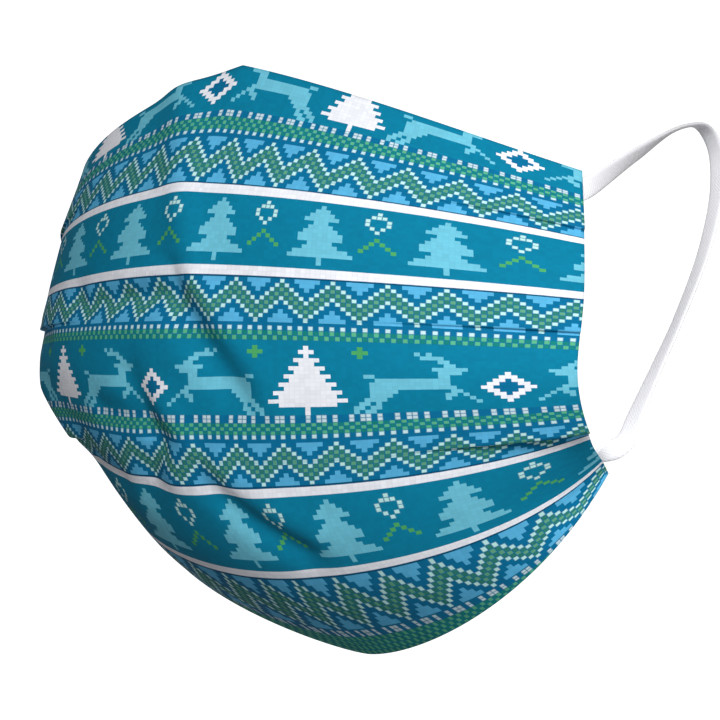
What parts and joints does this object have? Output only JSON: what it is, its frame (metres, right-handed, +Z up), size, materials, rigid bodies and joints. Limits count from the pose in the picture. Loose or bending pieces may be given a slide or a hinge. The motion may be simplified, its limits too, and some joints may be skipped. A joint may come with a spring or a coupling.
{
  "type": "pleated cloth face mask",
  "caption": "Pleated cloth face mask in its worn form, with flat elastic ear loops and a knit-look winter pattern.",
  "frame": {"origin": "inside of the cloth at the middle of its top edge, where it sits on the bridge of the nose", "axes": "the wearer looks along -Y, +X is the wearer's left, +Z is up"},
  "size_m": [0.1666, 0.091, 0.131],
  "materials": {
    "printed_cloth": "matt woven cloth, printed in teal, light blue, green and white, plain white inside",
    "white_elastic": "soft flat white elastic, slightly ribbed"
  },
  "bodies": {
    "root": {"mask_body": "printed_cloth", "ear_loop_left": "white_elastic", "ear_loop_right": "white_elastic"}
  },
  "joints": []
}
